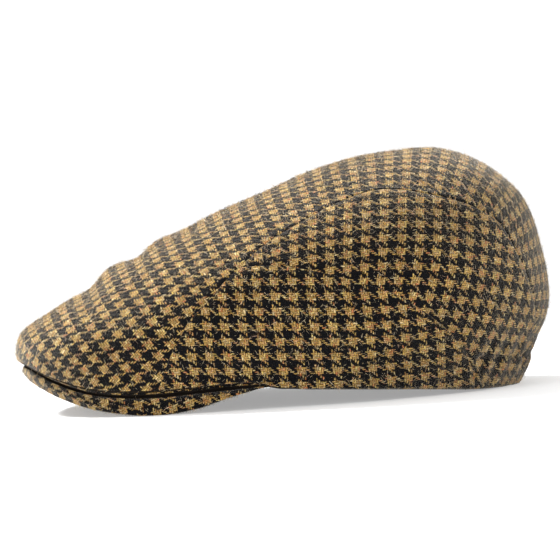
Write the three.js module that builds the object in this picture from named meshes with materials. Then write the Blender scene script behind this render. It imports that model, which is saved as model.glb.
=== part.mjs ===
// A tweed flat cap: one long top panel with the front cheeks, two upper side panels, two ear panels and a
// cloth-covered peak. Millimetres, +Z up, the peak towards -X, the wearer's left side towards -Y.
// The crown is drawn first with its hem in the plane z = 0. It is then set down as it lies on a table, on the
// two wings of the peak and the back of the hem, where the cloth is pressed flat.

import * as THREE from 'three';

// ---- driving dimensions ----
const CLOTH = 1.8; // the tweed wall of the crown
const HEM = 3.0; // the hem, where the cloth is turned in
const HEM_DEPTH = 12; // how far up the turned cloth reaches
const HEM_START = { from: 2, to: 16 }; // where along the cap, behind the peak, the turned hem begins
const SEAM_GAP = 0.6; // between two panels along a seam
const PEAK_THICKNESS = 4.5; // board and cloth
const PEAK_CLEARANCE = 0.6; // between the crown's wall and the peak under it
const OPENING = { centre: -11, reach: 63, half: 73, rise: 12 }; // front half of the head opening, which the peak borders
const PRESSED = 0.6; // depth of cloth flattened where the cap rests
const LIES_FLAT = 0.06; // what comes this close to the table lies on it
const SET_BACK = 2.5; // from the middle of the length, at rest, back to the cap's own origin

// Level outlines of the crown from just below the hem to its highest point: height, foremost and rearmost point on
// the centre line, half width, and the place along the cap where it is that wide.
const LEVELS = [
  { z: -8, front: -136, rear: 124, half: 79, widest: 2 },
  { z: 0, front: -138.5, rear: 129.5, half: 82, widest: 5 },
  { z: 8, front: -141.8, rear: 133.4, half: 84.5, widest: 9 },
  { z: 17, front: -143.4, rear: 135.6, half: 87, widest: 13 },
  { z: 25, front: -140.3, rear: 138.6, half: 88.6, widest: 17 },
  { z: 33, front: -130, rear: 142.2, half: 89.6, widest: 21 },
  { z: 42, front: -116.5, rear: 143.9, half: 90, widest: 25 },
  { z: 52, front: -101, rear: 143.8, half: 89.6, widest: 29.5 },
  { z: 62, front: -86, rear: 142.6, half: 87.6, widest: 34 },
  { z: 72, front: -69, rear: 140.2, half: 83.8, widest: 39 },
  { z: 82, front: -50, rear: 137.6, half: 78, widest: 45 },
  { z: 92, front: -29.5, rear: 133.6, half: 70, widest: 51 },
  { z: 101, front: -10, rear: 127.8, half: 60, widest: 57 },
  { z: 109, front: 8.5, rear: 119.5, half: 48.5, widest: 63 },
  { z: 115.5, front: 26, rear: 110.5, half: 37, widest: 68 },
  { z: 120.3, front: 44, rear: 100, half: 25, widest: 72 },
  { z: 123.5, front: 61, rear: 89, half: 12.7, widest: 75.5 },
  { z: 124.7, front: 77, rear: 77, half: 0, widest: 77 },
];

// The lower edge at the front, by the angle round the crown from the middle of the front: its height, how far the
// rim of the peak shows below it, and how far that rim stands out past it.
const FRONT_EDGE = [
  { angle: 0, z: 9.2, rim: 8.6, flare: -5 },
  { angle: 15, z: 8.2, rim: 9.7, flare: -4.3 },
  { angle: 30, z: 1.6, rim: 9.3, flare: -2.4 },
  { angle: 40, z: -2, rim: 9.3, flare: -0.8 },
  { angle: 50, z: -3.2, rim: 10.5, flare: 0.4 },
  { angle: 60, z: -2.4, rim: 12.4, flare: 0.9 },
  { angle: 70, z: 0.2, rim: 10.4, flare: 0.9 },
  { angle: 77, z: 2.3, rim: 7.1, flare: 0.7 },
  { angle: 82, z: 3.6, rim: 4.5, flare: 0.3 },
  { angle: 86, z: 1, rim: 1.4, flare: 0 },
];
const HEM_ANGLE = 88; // from here back the edge is the hem
const HEM_DIP = { from: 100, to: 150, depth: 2.2 }; // it runs level and then a little lower round the back
const HORN = { from: 70, to: 85 }; // where the peak thins towards its end, tucked under the edge
const WINGS = { from: 20, to: 80 }; // the stretch of the peak that can touch the table

// Seams of the left half, as they run along the crown seen from the side.
const FRONT_SEAM = [
  { x: -63, z: 6.5 },
  { x: -56, z: 23.5 },
  { x: -49, z: 36.5 },
  { x: -39, z: 47 },
  { x: -30.5, z: 57.5 },
  { x: -22.4, z: 65 },
];
const TOP_SEAM = [
  { x: -22.4, z: 65 },
  { x: -9, z: 76.5 },
  { x: 10, z: 88.5 },
  { x: 29, z: 98.3 },
  { x: 53, z: 105.3 },
  { x: 80, z: 102.5 },
  { x: 107, z: 94 },
  { x: 118, z: 86 },
  { x: 124.5, z: 74.5 },
  { x: 133, z: 53 },
  { x: 136, z: 34 },
  { x: 131, z: 15 },
];
const LOWER_SEAM = [
  { x: -22.4, z: 65 },
  { x: -0.8, z: 65.8 },
  { x: 21, z: 63 },
  { x: 40, z: 58 },
  { x: 56, z: 53 },
  { x: 72, z: 44.3 },
  { x: 88, z: 31.4 },
  { x: 99, z: 16.5 },
];
const SEAM_ENDS = { front: -66.5, top: 126, lower: 103 }; // where each seam meets the edge, along the cap

// Two soft hollows across the front slope with a low swell behind each, along the centre line.
const SLOPE_FOLDS = [
  { x: -105, height: -1.8, reach: 7, spread: 46 },
  { x: -91, height: 1.8, reach: 8, spread: 50 },
  { x: -78.5, height: -1.6, reach: 6, spread: 44 },
  { x: -66, height: 1.5, reach: 8, spread: 48 },
];

const SLOPE = { behind: -40, from: 20, to: 40 }; // they end before this x, and fade in between these heights
const BLUNT = 0.28; // how much fuller than an ellipse the front of the lowest outline is
const TIP = 0.02; // share of the upper side panel's seams left off at its pointed front end

// The peak's plate reaches up behind the crown's edge by its lap, and turns down below it past a straight lip.
const PLATE = { rows: 4, bow: 3, lap: 1.4, lip: 0.9, horn: 0.55 };

// The lower face of the peak's rim: share of its thickness inwards from the rim's line, and height over it.
const RIM_PROFILE = [
  { inwards: 0, up: 0.9 },
  { inwards: 0.2, up: 0 },
  { inwards: 0.8, up: 0 },
  { inwards: 1, up: 0.9 },
];

// Steps along each seam, so that two panels that meet there have the same ones, and across the panels.
const STEPS = { frontSeam: 12, topSeam: 30, lowerSeam: 30, bend: 18, across: 24, upperAcross: 9, peak: 40 };

const LAST = LEVELS.length - 1;
const TWEED = { color: 0x8d7447, roughness: 0.95, metalness: 0 };
const radians = THREE.MathUtils.degToRad;
const lerp = THREE.MathUtils.lerp;

// ---- curves through the tables ----

// The value of a column between rows, on a Catmull-Rom curve. Past either end the rows go on as turned about it.
function column(rows, name, at) {
  const row = Math.min(Math.max(Math.floor(at), 0), rows.length - 2);
  const value = (i) => {
    if (i < 0) return 2 * rows[0][name] - rows[1][name];
    if (i < rows.length) return rows[i][name];
    const turned = 2 * rows.length - 2 - i;
    return name === 'z' ? rows[turned].z : 2 * rows[rows.length - 1][name] - rows[turned][name];
  };
  const [a, b, c, d] = [value(row - 1), value(row), value(row + 1), value(row + 2)];
  const t = at - row;
  const cubic = 3 * (b - c) + d - a;
  return b + 0.5 * t * (c - a + t * (2 * a - 5 * b + 4 * c - d + t * cubic));
}

// The value of a column of FRONT_EDGE at an angle in degrees, on smooth steps between its rows.
function frontColumn(name, angle) {
  const last = FRONT_EDGE.length - 1;
  const next = FRONT_EDGE.findIndex((row) => row.angle > angle);
  if (next < 0) return FRONT_EDGE[last][name];
  const row = next - 1;
  const slope = (i) => {
    const [before, after] = [FRONT_EDGE[Math.max(i - 1, 0)], FRONT_EDGE[Math.min(i + 1, last)]];
    return i === 0 ? 0 : (after[name] - before[name]) / (after.angle - before.angle);
  };
  const [from, to] = [FRONT_EDGE[row], FRONT_EDGE[next]];
  const span = to.angle - from.angle;
  const t = (angle - from.angle) / span;
  const rise = (3 - 2 * t) * t * t;
  const bends = span * t * (1 - t) * ((1 - t) * slope(row) - t * slope(next));
  return lerp(from[name], to[name], rise) + bends;
}

// The height of the crown's lower edge at an angle in degrees, front to back.
function edgeHeight(angle) {
  const round = Math.min(Math.abs(angle), 360 - Math.abs(angle));
  const last = FRONT_EDGE[FRONT_EDGE.length - 1];
  if (round <= last.angle) return frontColumn('z', round);
  const dip = HEM_DIP.depth * THREE.MathUtils.smoothstep(round, HEM_DIP.from, HEM_DIP.to);
  return last.z * (1 - THREE.MathUtils.smoothstep(round, last.angle, HEM_ANGLE)) - dip;
}

// The row of LEVELS, with its fraction, that lies at a height.
function levelAt(z) {
  let [low, high] = [0, LAST];
  while (high - low > 1e-6) {
    const middle = (low + high) / 2;
    if (column(LEVELS, 'z', middle) < z) low = middle;
    else high = middle;
  }
  return low;
}

// ---- the crown's surface ----

// The crown is charted on a disc: its rim is the lowest level, its centre the highest point, and the angle runs
// from the front round the left side. A chart point is a Vector2.
function chart(level, angle) {
  const radius = 1 - level / LAST;
  return new THREE.Vector2(-radius * Math.cos(angle), radius * Math.sin(angle));
}

// The plain crown surface over a chart point.
function plainCrown(at) {
  const level = Math.max((1 - at.length()) * LAST, -0.5);
  const angle = Math.atan2(at.y, -at.x);
  const widest = column(LEVELS, 'widest', level);
  const end = column(LEVELS, Math.cos(angle) > 0 ? 'front' : 'rear', level);
  const forward = Math.max(Math.cos(angle), 0);
  const half = column(LEVELS, 'half', level) * (1 + BLUNT * at.length() * forward * forward);
  const x = widest + Math.abs(Math.cos(angle)) * (end - widest);
  return new THREE.Vector3(x, -half * Math.sin(angle), column(LEVELS, 'z', level));
}

function normalOf(surface, at) {
  const step = 0.002;
  const ahead = surface(new THREE.Vector2(at.x + step, at.y)).sub(surface(new THREE.Vector2(at.x - step, at.y)));
  const aside = surface(new THREE.Vector2(at.x, at.y + step)).sub(surface(new THREE.Vector2(at.x, at.y - step)));
  return aside.cross(ahead).normalize();
}

// The crown with the hollows and swells of its front slope.
function crown(at) {
  const point = plainCrown(at);
  if (point.x > SLOPE.behind) return point;
  let lift = 0;
  for (const fold of SLOPE_FOLDS) {
    const along = (point.x - fold.x) / fold.reach;
    const aside = point.y / fold.spread;
    lift += fold.height * Math.exp(-along * along - aside * aside);
  }
  const upward = THREE.MathUtils.smoothstep(point.z, SLOPE.from, SLOPE.to);
  return point.addScaledVector(normalOf(plainCrown, at), lift * upward);
}

// The chart point of the crown's left side that is seen at x and z from the side.
function chartFromSide({ x, z }) {
  const level = levelAt(z);
  const widest = column(LEVELS, 'widest', level);
  const end = column(LEVELS, x < widest ? 'front' : 'rear', level);
  const cosine = Math.min(Math.abs((x - widest) / (end - widest)), 1);
  const angle = Math.acos(x < widest ? cosine : -cosine);
  return chart(level, angle);
}

function edge(angle) {
  return chart(levelAt(edgeHeight(angle)), radians(angle));
}

// The angle, in degrees, at which the lower edge passes x on the left side.
function edgeAngle(x) {
  let [near, far] = [0, 180];
  while (far - near > 1e-5) {
    const middle = (near + far) / 2;
    if (plainCrown(edge(middle)).x < x) near = middle;
    else far = middle;
  }
  return near;
}

// A seam as an evenly stepped curve on the chart, with a last point on the edge where the table stops short of it.
function seam(rows, ends = {}) {
  const points = rows.map(chartFromSide);
  if (ends.first !== undefined) points.unshift(edge(ends.first));
  if (ends.last !== undefined) points.push(edge(ends.last));
  return new THREE.SplineCurve(points);
}

const frontAngle = edgeAngle(SEAM_ENDS.front);
const topAngle = edgeAngle(SEAM_ENDS.top);
const lowerAngle = edgeAngle(SEAM_ENDS.lower);
const frontSeam = seam(FRONT_SEAM, { first: frontAngle });
const topSeam = seam(TOP_SEAM, { last: topAngle });
const lowerSeam = seam(LOWER_SEAM, { last: lowerAngle });

// ---- panels ----

// A Coons patch on the chart between four curves of 0..1: two that run along it and two that run across.
function patch({ near, far, start, end }) {
  const corners = [start(0), start(1), end(0), end(1)];
  return (s, t) => {
    const point = near(s).multiplyScalar(1 - t).addScaledVector(far(s), t);
    point.addScaledVector(start(t), 1 - s).addScaledVector(end(t), s);
    point.addScaledVector(corners[0], -(1 - s) * (1 - t)).addScaledVector(corners[1], -(1 - s) * t);
    return point.addScaledVector(corners[2], -s * (1 - t)).addScaledVector(corners[3], -s * t);
  };
}

// Turns a point to the way the cap rests on a table, and presses flat what would reach below it.
const REST_TILT = restTilt();
function setDown(point) {
  const turned = point.clone().applyAxisAngle(new THREE.Vector3(0, 1, 0), REST_TILT.angle);
  const z = turned.z + REST_TILT.lift - PRESSED;
  return new THREE.Vector3(turned.x - SET_BACK, turned.y, z < LIES_FLAT ? 0 : z);
}

// The line that the back of the hem and the lowest points of the peak's rim share.
function restTilt() {
  const back = plainCrown(edge(180));
  let wing = rimPoint(WINGS.from);
  const drop = (point) => (back.z - point.z) / (back.x - point.x);
  for (let degrees = WINGS.from; degrees < WINGS.to; degrees++) {
    const rim = rimPoint(degrees);
    if (drop(rim) > drop(wing)) wing = rim;
  }
  const angle = Math.atan(drop(wing));
  return { angle, lift: back.x * Math.sin(angle) - back.z * Math.cos(angle) };
}

// The lowest line of the peak's rim, below the crown's front edge.
function rimPoint(angle) {
  const turn = Math.abs(angle);
  const at = edge(turn);
  const point = plainCrown(at);
  const outward = normalOf(plainCrown, at).setZ(0).normalize();
  point.addScaledVector(outward, frontColumn('flare', turn));
  point.z -= frontColumn('rim', turn);
  if (angle < 0) point.y = -point.y;
  return point;
}

// A closed wall between an outer and an inner grid of points, both [along][across].
function wall(outer, inner) {
  const across = outer[0].length;
  const points = [...outer.flat(), ...inner.flat()];
  const half = points.length / 2;
  const index = [];
  const quad = (a, b, c, d) => index.push(a, c, b, a, d, c);
  for (let i = 0; i < outer.length - 1; i++) {
    for (let j = 0; j < across - 1; j++) {
      const corner = i * across + j;
      const ring = [corner, corner + 1, corner + across + 1, corner + across];
      quad(...ring);
      quad(...ring.map((k) => k + half).reverse());
    }
  }
  const last = (outer.length - 1) * across;
  for (let j = 0; j < across - 1; j++) {
    quad(j + 1, j, j + half, j + 1 + half);
    quad(last + j, last + j + 1, last + j + 1 + half, last + j + half);
  }
  for (let i = 0; i < outer.length - 1; i++) {
    const here = i * across;
    const next = here + across;
    quad(here, next, next + half, here + half);
    quad(next + across - 1, here + across - 1, here + across - 1 + half, next + across - 1 + half);
  }
  return geometryOf(points, index);
}

function geometryOf(points, index) {
  const geometry = new THREE.BufferGeometry();
  geometry.setAttribute('position', new THREE.Float32BufferAttribute(points.flatMap((p) => p.toArray()), 3));
  geometry.setIndex(index);
  geometry.computeVertexNormals();
  return geometry;
}

// Moves the outermost row and column of a grid inwards, so that two panels leave the seam's gap.
function trim(grid) {
  const rows = grid.length;
  const columns = grid[0].length;
  const towards = (i, j, toI, toJ) => {
    const way = grid[toI][toJ].clone().sub(grid[i][j]);
    grid[i][j].addScaledVector(way.normalize(), SEAM_GAP / 2);
  };
  for (let i = 0; i < rows; i++) {
    towards(i, 0, i, 1);
    towards(i, columns - 1, i, columns - 2);
  }
}

// A panel of the crown: its wall is CLOTH thick, and HEM thick along the hem.
function panel(area, along, across, mirrored = false) {
  const outer = [];
  const inner = [];
  for (let i = 0; i <= along; i++) {
    const outerRow = [];
    const innerRow = [];
    for (let j = 0; j <= across; j++) {
      const at = area(i / along, j / across);
      const point = crown(at);
      const turned = 1 - THREE.MathUtils.smoothstep(point.z, HEM_DEPTH / 2, HEM_DEPTH);
      const behind = THREE.MathUtils.smoothstep(point.x, HEM_START.from, HEM_START.to);
      const thickness = lerp(CLOTH, HEM, turned * behind);
      const normal = normalOf(plainCrown, at);
      normal.z *= 1 - turned * behind;
      const inside = point.clone().addScaledVector(normal.normalize(), -thickness);
      if (mirrored) {
        point.y = -point.y;
        inside.y = -inside.y;
      }
      outerRow.push(setDown(point));
      innerRow.push(setDown(inside));
    }
    outer.push(mirrored ? outerRow.reverse() : outerRow);
    inner.push(mirrored ? innerRow.reverse() : innerRow);
  }
  trim(outer);
  trim(inner);
  return wall(outer, inner);
}

const mirror = (point) => new THREE.Vector2(point.x, -point.y);
const between = (curve, from, to) => (t) => curve.getPointAt(lerp(from, to, t));
const alongEdge = (from, to) => (t) => edge(lerp(from, to, t));

// The top panel's left side follows the front seam and then the top seam.
function topSide(s) {
  const step = s * (STEPS.frontSeam + STEPS.topSeam);
  if (step < STEPS.frontSeam) return frontSeam.getPointAt(step / STEPS.frontSeam);
  return topSeam.getPointAt((step - STEPS.frontSeam) / STEPS.topSeam);
}

function crownTop() {
  const area = patch({
    near: topSide,
    far: (s) => mirror(topSide(s)),
    start: alongEdge(frontAngle, -frontAngle),
    end: alongEdge(topAngle, 360 - topAngle),
  });
  return panel(area, STEPS.frontSeam + STEPS.topSeam, STEPS.across);
}

function sideUpper(mirrored) {
  const area = patch({
    near: (s) => lowerSeam.getPointAt(Math.max(s, TIP)),
    far: (s) => topSeam.getPointAt(Math.max(s, TIP)),
    start: (t) => lowerSeam.getPointAt(TIP).lerp(topSeam.getPointAt(TIP), t),
    end: alongEdge(lowerAngle, topAngle),
  });
  return panel(area, STEPS.topSeam, STEPS.upperAcross, mirrored);
}

// The ear panel's upper side follows the lower seam to its bend, and its rear side follows it down to the hem.
function earPanel(mirrored) {
  const bend = STEPS.bend / STEPS.lowerSeam;
  const area = patch({
    near: alongEdge(frontAngle, lowerAngle),
    far: between(lowerSeam, 0, bend),
    start: between(frontSeam, 0, 1),
    end: between(lowerSeam, 1, bend),
  });
  return panel(area, STEPS.bend, STEPS.frontSeam, mirrored);
}

// ---- peak ----

// A point of the peak just inside the crown's edge, at a height over it.
function lipPoint(angle, above) {
  const at = edge(angle);
  const outward = normalOf(plainCrown, at).setZ(0).normalize();
  const point = plainCrown(at).addScaledVector(outward, -CLOTH - PEAK_CLEARANCE);
  point.z += above;
  return point;
}

// The upper face of the peak's plate, from its inner edge, 0, to just inside the crown's edge, 1.
function plate(angle, share) {
  const turn = radians(angle);
  const inner = new THREE.Vector3(
    OPENING.centre - OPENING.reach * Math.cos(turn),
    -OPENING.half * Math.sin(turn),
    OPENING.rise * Math.cos(turn) ** 2 + PEAK_THICKNESS / 2,
  );
  const point = inner.lerp(lipPoint(angle, PLATE.lap), share);
  point.z += PLATE.bow * 4 * share * (1 - share) * Math.cos(turn) ** 2;
  return point;
}

function plateNormal(angle, share) {
  const outwards = plate(angle, share + 0.01).sub(plate(angle, share - 0.01));
  const around = plate(angle + 0.5, share).sub(plate(angle - 0.5, share));
  return outwards.cross(around).normalize();
}

// One section of the peak, as a closed ring: over the plate, down the rim, and back along the underside.
function peakSection(angle) {
  const horn = THREE.MathUtils.smoothstep(Math.abs(angle), HORN.from, HORN.to);
  const thickness = PEAK_THICKNESS * lerp(1, PLATE.horn, horn);
  const ring = [];
  for (let row = 0; row <= PLATE.rows; row++) ring.push(plate(angle, row / PLATE.rows));
  const lip = lipPoint(angle, -PLATE.lip);
  const rim = rimPoint(angle);
  const inward = normalOf(plainCrown, edge(angle)).setZ(0).normalize().multiplyScalar(-thickness);
  ring.push(lip, lip.clone().lerp(rim, 0.5));
  for (const { inwards, up } of RIM_PROFILE) {
    const corner = rim.clone().addScaledVector(inward, inwards);
    corner.z += up * (1 - horn);
    ring.push(corner);
  }
  for (let row = PLATE.rows - 1; row >= 0; row--) {
    const share = row / PLATE.rows;
    ring.push(ring[row].clone().addScaledVector(plateNormal(angle, share), -thickness));
  }
  return ring.map(setDown);
}

function peak() {
  const rings = [];
  const steps = STEPS.peak;
  for (let i = 0; i <= steps; i++) rings.push(peakSection(lerp(HORN.to, -HORN.to, i / steps)));
  const size = rings[0].length;
  const index = [];
  for (let i = 0; i < steps; i++) {
    for (let j = 0; j < size; j++) {
      const [a, b] = [i * size + j, i * size + ((j + 1) % size)];
      index.push(a, b + size, b, a, a + size, b + size);
    }
  }
  index.push(...hornFaces(0, size).reverse(), ...hornFaces(steps * size, size));
  return geometryOf(rings.flat(), index);
}

// The flat end of a horn: strips between the plate's two faces, then a fan over the rim.
function hornFaces(first, size) {
  const faces = [];
  const last = size - 1;
  for (let j = 0; j < PLATE.rows - 1; j++) faces.push(last - j, j + 1, j, last - j, last - j - 1, j + 1);
  const hub = last - PLATE.rows + 1;
  for (let j = PLATE.rows - 1; j < hub - 1; j++) faces.push(hub, j + 1, j);
  return faces.map((k) => first + k);
}

const parts = [
  ['crown_top', crownTop()],
  ['side_upper_left', sideUpper(false)],
  ['side_upper_right', sideUpper(true)],
  ['ear_panel_left', earPanel(false)],
  ['ear_panel_right', earPanel(true)],
  ['peak', peak()],
];

const cap = new THREE.Group();
for (const [name, geometry] of parts) {
  const mesh = new THREE.Mesh(geometry, new THREE.MeshStandardMaterial(TWEED));
  mesh.name = name;
  cap.add(mesh);
}

export default cap;
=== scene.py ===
"""A tweed flat cap, panel by panel, with its peak and its woollen nap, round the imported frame."""

import math

import bpy
import numpy as np
from mathutils import Matrix, Vector


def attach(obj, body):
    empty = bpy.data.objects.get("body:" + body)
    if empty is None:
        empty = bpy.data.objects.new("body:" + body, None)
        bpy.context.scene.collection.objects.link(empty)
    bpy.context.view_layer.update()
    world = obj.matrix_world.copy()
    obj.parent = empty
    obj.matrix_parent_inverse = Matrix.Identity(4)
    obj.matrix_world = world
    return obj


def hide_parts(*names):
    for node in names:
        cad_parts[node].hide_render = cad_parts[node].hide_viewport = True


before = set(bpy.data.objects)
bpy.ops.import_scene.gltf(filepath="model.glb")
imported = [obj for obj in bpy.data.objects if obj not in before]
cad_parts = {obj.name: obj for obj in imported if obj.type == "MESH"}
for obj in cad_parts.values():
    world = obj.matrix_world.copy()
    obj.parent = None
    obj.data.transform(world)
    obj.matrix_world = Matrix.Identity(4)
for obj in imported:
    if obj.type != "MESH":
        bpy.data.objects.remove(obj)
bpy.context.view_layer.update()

bl_info = {
    "name": "Tweed Flat Cap",
    "version": (1, 0, 0),
    "blender": (4, 5, 0),
    "location": "3D View > Sidebar > Flat Cap",
    "description": "Builds a houndstooth flat cap from its cut panels",
    "category": "Add Mesh",
}

# ---- sizes, in millimetres, with the hem in the plane z = 0 and the peak towards -X ----


def table(names, *rows):
    """Rows of numbers as named columns."""
    return dict(zip(names.split(), np.array(rows, float).T))


# Level outlines of the crown: height, foremost and rearmost point, half width, and where along
# the cap it is that wide.
LEVELS = table(
    "z front rear half widest",
    (-8, -136, 124, 79, 2),
    (0, -138.5, 129.5, 82, 5),
    (8, -141.8, 133.4, 84.5, 9),
    (17, -143.4, 135.6, 87, 13),
    (25, -140.3, 138.6, 88.6, 17),
    (33, -130, 142.2, 89.6, 21),
    (42, -116.5, 143.9, 90, 25),
    (52, -101, 143.8, 89.6, 29.5),
    (62, -86, 142.6, 87.6, 34),
    (72, -69, 140.2, 83.8, 39),
    (82, -50, 137.6, 78, 45),
    (92, -29.5, 133.6, 70, 51),
    (101, -10, 127.8, 60, 57),
    (109, 8.5, 119.5, 48.5, 63),
    (115.5, 26, 110.5, 37, 68),
    (120.3, 44, 100, 25, 72),
    (123.5, 61, 89, 12.7, 75.5),
    (124.7, 77, 77, 0, 77),
)

# The lower edge at the front by the angle from the middle: its height, how far the peak's rim
# shows below it, and how far that rim stands out past it.
FRONT_EDGE = table(
    "angle z rim flare",
    (0, 9.2, 8.6, -5),
    (15, 8.2, 9.7, -4.3),
    (30, 1.6, 9.3, -2.4),
    (40, -2, 9.3, -0.8),
    (50, -3.2, 10.5, 0.4),
    (60, -2.4, 12.4, 0.9),
    (70, 0.2, 10.4, 0.9),
    (77, 2.3, 6.2, 0.7),
    (82, 2.8, 3.2, -0.4),
    (86, 0.6, 1, -3.2),
)
HEM_ANGLE = 88  # from here back the edge is the hem
HEM_DIP = (100, 150, 2.2)  # it dips between these angles, and by how much
HORN = (70, 87.5)  # angles between which the peak thins towards its end
HORN_TUCK = (80, 87, 2)  # its end rises into the crown between these angles, and by how much
WINGS = (20, 80)  # the stretch of the peak that can touch the table

# The seams as they look from the side, each from where it meets the edge or the others, and
# where along the cap their lower ends are.
FRONT_SEAM = ((-63, 6.5), (-56, 23.5), (-49, 36.5), (-39, 47), (-30.5, 57.5), (-22.4, 65))
TOP_SEAM = (
    (-22.4, 65), (-9, 76.5), (10, 88.5), (29, 98.3), (53, 105.3), (80, 102.5),
    (107, 94), (118, 86), (124.5, 74.5), (133, 53), (136, 34), (131, 15),
)
LOWER_SEAM = (
    (-22.4, 65), (-0.8, 65.8), (21, 63), (40, 58), (56, 53), (72, 44.3), (88, 31.4), (99, 16.5),
)
SEAM_ENDS = {"front": -66.5, "top": 126, "lower": 103}
FRONT_SHARE = 12 / 42  # of the top panel's side, along the front seam
BEND_SHARE = 18 / 30  # of the lower seam, before it turns down towards the hem
TIP = 0.001  # share of the seams left off at the upper side panel's point

# Soft hollows and swells across the front slope: where, how high, and their reach and spread.
SLOPE_FOLDS = table(
    "x height reach spread",
    (-105, -1.8, 7, 46),
    (-91, 1.8, 8, 50),
    (-78.5, -1.6, 6, 44),
    (-66, 1.5, 8, 48),
)
SLOPE_END = (-46, -40)  # they fade out along the cap
SLOPE_FOOT = (20, 40)  # and set in between these heights

# Slow unevenness of the worn cloth: waves a metre along x, y and z, phase, and height.
SLACK = table(
    "x y z phase height",
    (83, 31, 47, 0.4, 0.3),
    (-52, 77, 68, 2.1, 0.28),
    (131, -58, 90, 4.0, 0.16),
    (24, 142, -120, 5.2, 0.14),
    (170, 95, 150, 1.3, 0.09),
)

BLUNT = 0.28  # how much fuller than an ellipse the lower front is
CLOTH = 1.8
HEM = 3.0  # where the cloth is turned in
HEM_DEPTH = 12  # how far up it reaches
HEM_STEP = (-0.9, 0.4)  # it ends between these distances from its depth
HEM_START = ((2, 16), (60, 70))  # where along the cap it sets in: side panels, top panel
HEM_STITCHING = (0.25, 1.6)  # depth and reach of the dip along it
FRONT_ROLL = (0.4, 2.5, 9)  # how much thicker the front edge is, and where that fades
FRONT_ROUND = 2.5  # how far from the front edge the cloth starts to turn in
FRONT_CREASE = (0.5, 10, 1.8)  # depth, distance from the front edge and reach
FRONT_CREASE_ENDS = ((6, 30), (-80, -66))  # it sets in off the middle, and fades along the cap
EDGE_LEFT = 0.5  # of the wall's thickness, where a turned edge is rounded off
GAP_SHADE_WIDTH = 1.4  # of the front edge that takes the gap's near-black painted shade
INSIDE_FOLLOWS = (0.4, 0.5)  # height up to which the inside follows the outside, and its share
SEAM_REACH = 1.2  # of the dip at a seam
SEAM_SWELL = (0.25, 4.5, 3)  # height, distance from the seam and reach of the swell beside it
BACK = (92, 112)  # where along the cap the forms of the back set in
BACK_CREASE = (0.9, 14.5, 1.8)  # depth, height over the hem and reach
TUCKS = {"height": 0.55, "wave": 0.62, "sway": 1.4, "drift": 0.11, "low": (2, 9), "high": (16, 34)}
BARE_ROWS = 3  # rows of points along a panel's borders that carry no nap

PRESSED = 0.6  # depth of cloth flattened where the cap rests
LIES_FLAT = 0.06  # what comes this close to the table lies on it
SET_BACK = 2.5  # from the middle of the length, at rest, back to the cap's own origin

PEAK_THICKNESS = 4.5
PEAK_CLEARANCE = 0.6
OPENING = {"centre": -11, "reach": 63, "half": 73, "rise": 12}
PLATE = {"rows": 8, "bow": 3, "lap": 1.4, "lip": 0.9, "horn": 0.55}
# The gap under the front edge: how far it goes down and in, how far down the rim's face starts,
# how far inside the edge that is at the sides and how much further at the middle, how far the
# face bulges, and its shares of the lip and the rim at the peak's ends.
GAP = {"down": 1.8, "inwards": 3.0, "face": 2.3, "inset": 1.0, "more": 1.2, "bulge": 0.7}
GAP_END = (0.55, 0.45)
RIM_PROFILE = ((0, 1.1), (0.12, 0), (0.85, 0), (1, 1.2))  # share of thickness inwards, height
PEAK_SECTIONS = 261
# Corners of the peak's section, counted from the plate's edge: those in the gap that take its
# near-black painted shade, those with nap, and from where the underside is cut apart.
SECTION = {"painted_shade": (0.5, 2.4), "nap": (3, 7), "under": 6.5}
CUTS_OF_CORNERS = 2  # how often the section's corners are cut to round it
FINE = 2**CUTS_OF_CORNERS  # points that each corner becomes

# A loose fibre: how much its length varies, how steeply it stands and how far it bends aside.
FIBRE = {"varies": 0.4, "stands": (0.15, 1.2), "bends": 0.35}
# Shares of its length to its middle and tip, and how these bend aside, droop and narrow.
BLADE = {"middle": 0.5, "bow": 0.15, "tip": 0.85, "curl": 0.6, "droop": 0.25, "taper": 0.8}
ROOTED, CLEAR = 0.15, 0.1  # how deep it is rooted, and how far it stays off the table
TOP_LIGHT_NAP = (0.2, 0.8, 1.6)  # how far up the cloth faces where it has more nap, and how much more; the nap is the cloth's own, but heaping more of it and of the pale hairs on upward faces is a painted highlight, paling the top as the light from above does

LAST = len(LEVELS["z"]) - 1
MM = 0.001


# ---- curves and surfaces ----


def smooth(values, at, before=None, after=None):
    """Values between rows on a Catmull-Rom curve. Rows past either end are turned about it."""
    values = np.asarray(values, float)
    before = 2 * values[0] - values[1] if before is None else before
    after = 2 * values[-1] - values[-2] if after is None else after
    rows = np.concatenate([[before], values, [after]])
    at = np.asarray(at, float)
    row = np.clip(np.floor(at).astype(int), 0, len(values) - 2)
    t = (at - row).reshape(at.shape + (1,) * (values.ndim - 1))
    a, b, c, d = (rows[row + k] for k in range(4))
    return b + 0.5 * t * (c - a + t * (2 * a - 5 * b + 4 * c - d + t * (3 * (b - c) + d - a)))


def level(name, at):
    values = LEVELS[name]
    return smooth(values, at, after=values[-2] if name == "z" else None)


def ramp(value, low, high):
    """A smooth rise from 0 to 1."""
    t = np.clip((value - low) / (high - low), 0, 1)
    return t * t * (3 - 2 * t)


def bump(value, middle, reach):
    return np.exp(-(((value - middle) / reach) ** 2))


def unit(vectors):
    return vectors / np.maximum(np.linalg.norm(vectors, axis=-1, keepdims=True), 1e-12)


def lengths(points, axis=0):
    """How far along its line each point is."""
    steps = np.linalg.norm(np.diff(points, axis=axis), axis=-1)
    return np.concatenate([np.zeros_like(steps.take([0], axis)), np.cumsum(steps, axis)], axis)


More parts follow.
